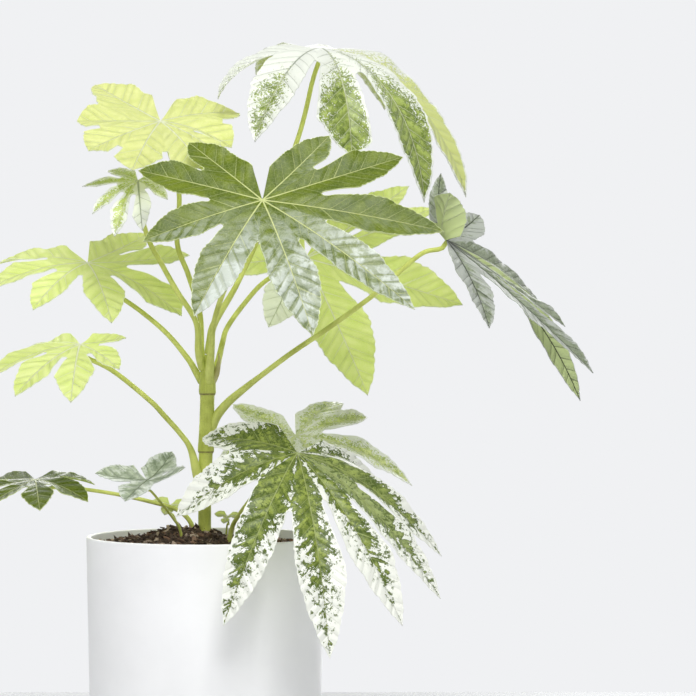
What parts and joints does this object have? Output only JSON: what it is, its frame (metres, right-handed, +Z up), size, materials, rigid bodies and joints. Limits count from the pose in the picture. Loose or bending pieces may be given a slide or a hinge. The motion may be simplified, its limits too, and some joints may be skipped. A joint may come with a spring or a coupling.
{
  "type": "potted fatsia japonica plant",
  "caption": "Potted fatsia: upright green stem, arching leaf stalks and large lobed leaves, some marbled or edged in cream, in a matt white cylindrical pot filled with soil.",
  "frame": {"origin": "middle of the pot's flat foot", "axes": "+Z up, +X to the right and +Y away as seen in the picture"},
  "size_m": [0.5693, 0.3432, 0.6498],
  "materials": {
    "pot": "matt white",
    "soil": "loose dark potting mix with bark chips",
    "stem": "smooth green bark with leaf scars",
    "bud": "closed bud scales",
    "stalk": "smooth yellow-green stalk",
    "leaf_plain": "glossy leathery green leaf",
    "leaf_pale": "thin yellow-green leaf that lets light through",
    "leaf_marbled": "green leaf with cream marbling",
    "leaf_edged": "green leaf with broad cream-white margins and specks",
    "leaf_silver": "grey-green leaf with a silvery sheen"
  },
  "bodies": {
    "root": {"pot": "pot", "soil": "soil", "stem": "stem", "bud": "bud", "stalk_main": "stalk", "stalk_top": "stalk", "stalk_upper_left": "stalk", "stalk_left": "stalk", "stalk_side_left": "stalk", "stalk_low_left": "stalk", "stalk_back_right": "stalk", "stalk_right": "stalk", "stalk_low_front": "stalk", "stalk_low_back": "stalk", "stalk_shoot_left": "stalk", "stalk_far_left": "stalk", "stalk_young_left": "stalk", "stalk_young_right": "stalk", "blade_main": "leaf_plain", "blade_top": "leaf_marbled", "blade_upper_left": "leaf_pale", "blade_left": "leaf_marbled", "blade_side_left": "leaf_pale", "blade_low_left": "leaf_pale", "blade_back_right": "leaf_pale", "blade_right": "leaf_silver", "blade_low_front": "leaf_edged", "blade_low_back": "leaf_marbled", "blade_shoot_left": "leaf_silver", "blade_far_left": "leaf_plain", "blade_young_left": "leaf_pale", "blade_young_right": "leaf_pale"}
  },
  "joints": []
}
